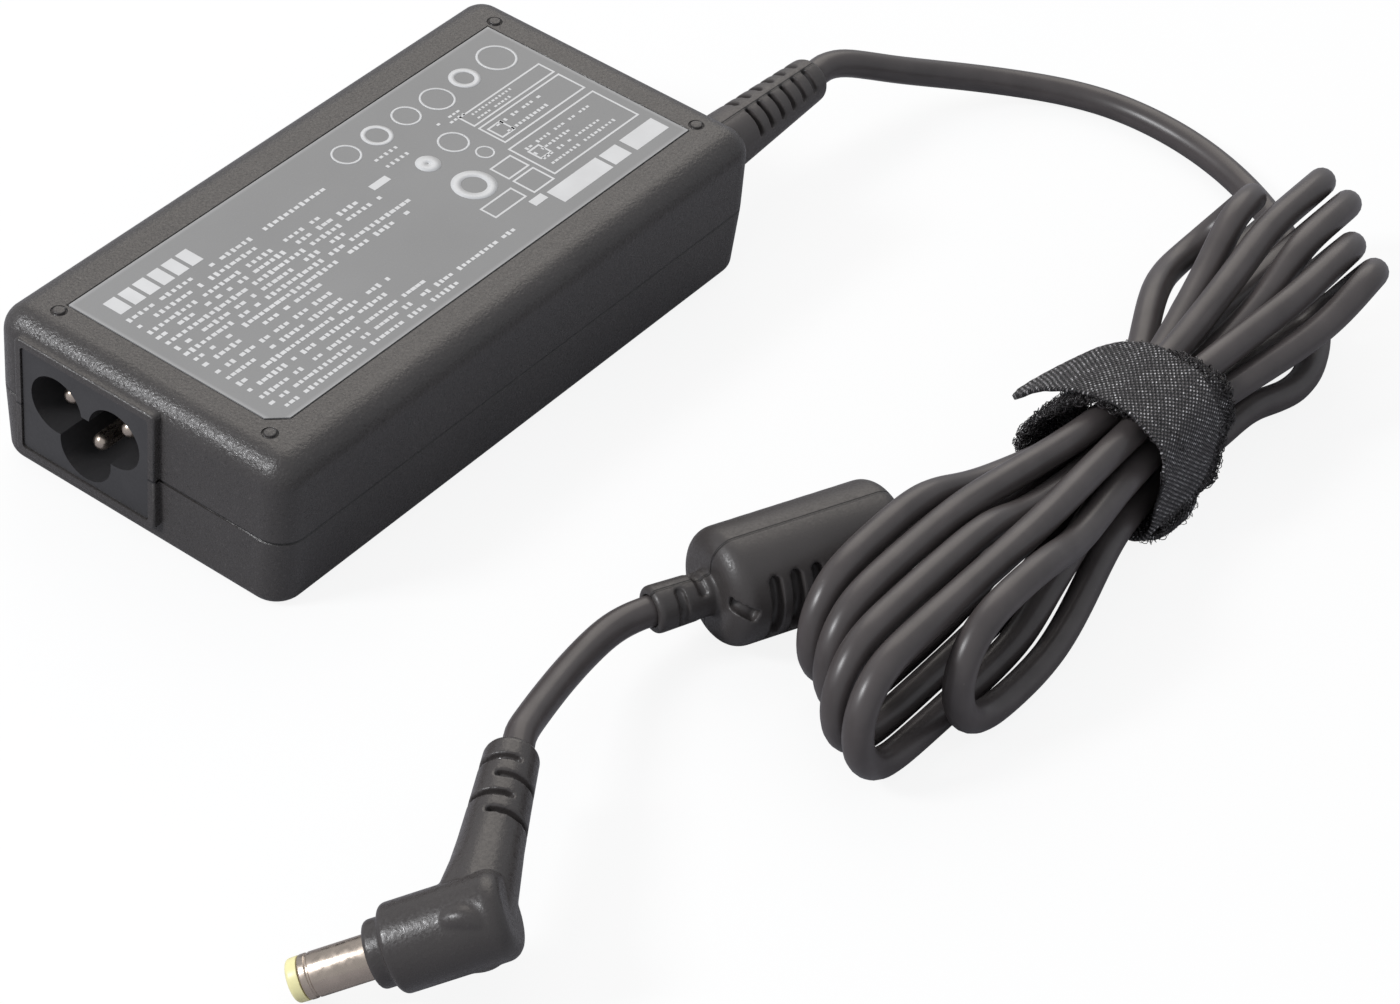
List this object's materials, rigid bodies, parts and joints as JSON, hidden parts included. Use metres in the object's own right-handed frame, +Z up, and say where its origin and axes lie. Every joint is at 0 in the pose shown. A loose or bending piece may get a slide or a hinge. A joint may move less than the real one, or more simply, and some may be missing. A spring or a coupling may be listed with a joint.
{
  "type": "laptop power adapter",
  "caption": "Slim black laptop power adapter with a three-pin mains inlet and a captive output lead, folded in a strapped hank, with a ferrite and an elbow barrel plug.",
  "frame": {"origin": "centre of the case's underside, on the surface that it stands on", "axes": "+X along the case from the mains inlet to the output lead, +Y across the case away from the side where the folded lead lies, +Z up"},
  "size_m": [0.2191, 0.1319, 0.0242],
  "materials": {
    "case": "fine spark-eroded grain",
    "label": "satin film",
    "inlet": "smooth",
    "contact": "bright nickel plate",
    "wire": "smooth",
    "board": "laminate",
    "moulded": "epoxy moulding",
    "coated": "dipped coating",
    "box_film": "moulded box",
    "ferrite": "sintered",
    "copper": "enamelled wire",
    "can_sleeve": "shrink sleeve",
    "heat_sink": "rolled",
    "tape": "wound tape",
    "bobbin": "moulded",
    "film": "fish paper",
    "pad": "soft pad",
    "moulding": "fine grain",
    "cord": "satin PVC",
    "strap": "woven hook and loop",
    "tip_ring": "smooth"
  },
  "bodies": {
    "root": {"top_cover": "case", "bottom_cover": "case", "rating_label": "label", "inlet_housing": "inlet", "line_pin": "contact", "neutral_pin": "contact", "earth_pin": "contact", "inlet_leads": "wire", "circuit_board": "board", "input_fuse": "moulded", "surge_varistor": "coated", "inrush_thermistor": "coated", "x_capacitor": "box_film", "choke_core": "ferrite", "choke_windings": "copper", "bridge_rectifier": "moulded", "bulk_capacitor": "can_sleeve", "primary_heat_sink": "heat_sink", "primary_switch": "moulded", "transformer_core": "ferrite", "transformer_bobbin": "bobbin", "transformer_winding": "tape", "y_capacitors": "coated", "optocoupler": "moulded", "control_chip": "moulded", "output_heat_sink": "heat_sink", "output_rectifier": "moulded", "output_capacitors": "can_sleeve", "output_choke": "ferrite", "thermal_pads": "pad", "upper_insulator": "film", "upper_heat_spreader": "heat_sink", "lower_insulator": "film", "lower_heat_spreader": "heat_sink", "output_leads": "wire", "cable_tail": "cord", "output_strain_relief": "moulding", "lead_to_hank": "cord", "lead_hank": "cord", "lead_to_ferrite": "cord", "cable_strap": "strap", "ferrite_core": "ferrite", "ferrite_jacket": "moulding", "ferrite_cable": "cord", "lead_to_plug": "cord", "plug_body": "moulding", "plug_cable": "cord", "plug_sleeve": "contact", "plug_tip_insulator": "tip_ring", "plug_inner_contact": "contact"}
  },
  "joints": []
}
